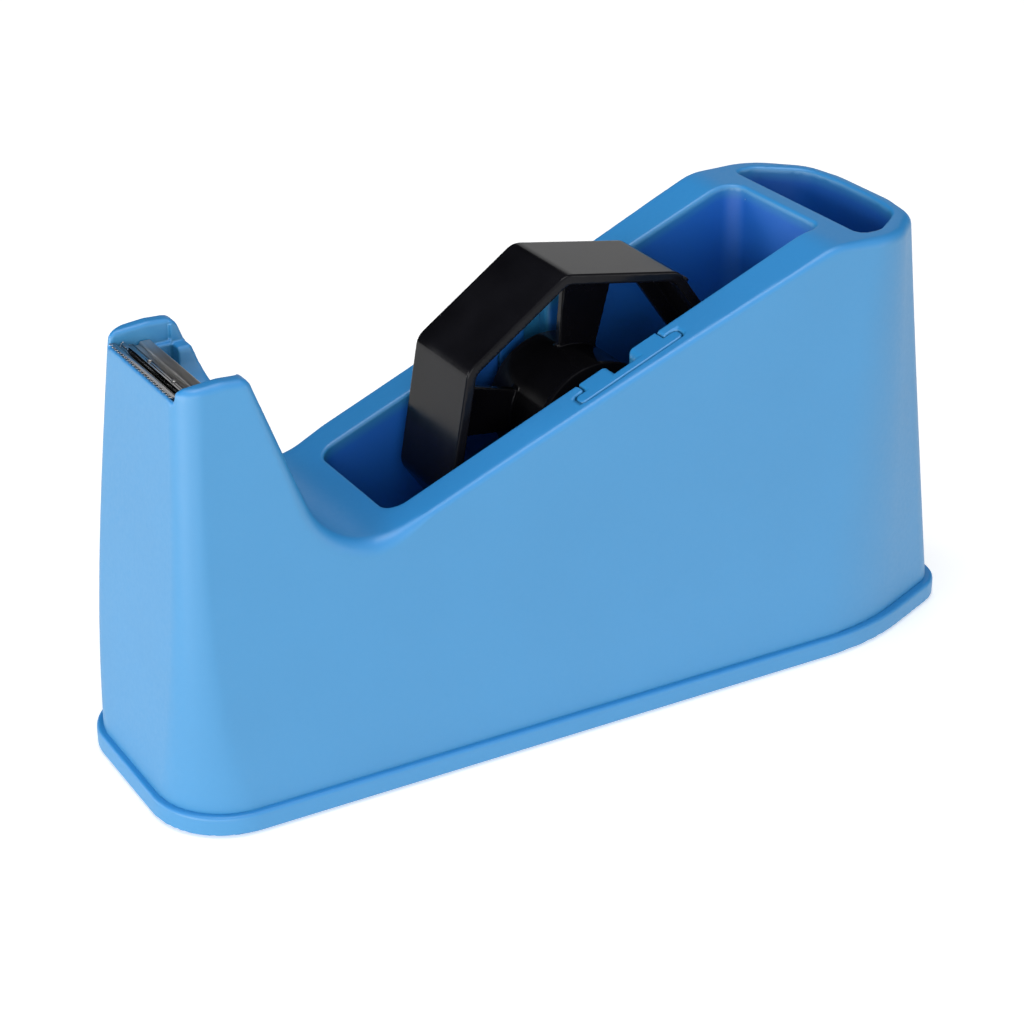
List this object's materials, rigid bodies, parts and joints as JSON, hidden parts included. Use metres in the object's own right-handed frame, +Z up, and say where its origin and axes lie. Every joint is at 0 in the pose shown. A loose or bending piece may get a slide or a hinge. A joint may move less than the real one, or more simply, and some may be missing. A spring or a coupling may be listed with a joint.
{
  "type": "desktop tape dispenser",
  "caption": "Heavy desktop tape dispenser: blade tower, valley, ramp with a deep roll well, lift-out octagonal wheel for 1-inch and 3-inch cores, and a rear pen cup.",
  "frame": {"origin": "on the table under the middle of the base's bounding box", "axes": "+X from the blade end to the pen cup, +Y to the right-hand side as seen by a user behind the pen cup looking at the blade, +Z up"},
  "size_m": [0.204, 0.061, 0.1008],
  "materials": {
    "shell_blue": "satin moulded ABS",
    "base_blue": "satin moulded ABS",
    "bracket_blue": "satin moulded ABS",
    "wheel_black": "glossy moulded polystyrene",
    "blade_steel": "bright cut edge on a dark strip",
    "holder_steel": "dark satin steel",
    "bright_steel": "drawn and zinc-plated",
    "ballast_iron": "as cast",
    "foot_rubber": "matt"
  },
  "bodies": {
    "housing": {"body_shell": "shell_blue", "base_plate": "base_blue", "ballast_front": "ballast_iron", "ballast_rear": "ballast_iron", "base_screws": "bright_steel", "ballast_screws": "bright_steel", "foot_front_left": "foot_rubber", "foot_front_right": "foot_rubber", "foot_rear_left": "foot_rubber", "foot_rear_right": "foot_rubber", "blade_holder": "holder_steel", "cutter_blade": "blade_steel", "blade_rivets": "holder_steel", "axle_bracket_left": "bracket_blue", "axle_bracket_right": "bracket_blue"},
    "axle": {"axle": "bright_steel", "axle_collar_left": "wheel_black", "axle_collar_right": "wheel_black"},
    "wheel": {"core_spindle": "wheel_black", "core_adapter": "wheel_black"}
  },
  "joints": [
    {"name": "axle_lift", "type": "slide", "parent": "housing", "child": "axle", "axis": [0, 0, 1], "range_m": [0, 0.085]},
    {"name": "wheel_spin", "type": "hinge", "parent": "axle", "child": "wheel", "pos_m": [0.008, 0, 0.062], "axis": [0, 1, 0], "continuous": true}
  ]
}
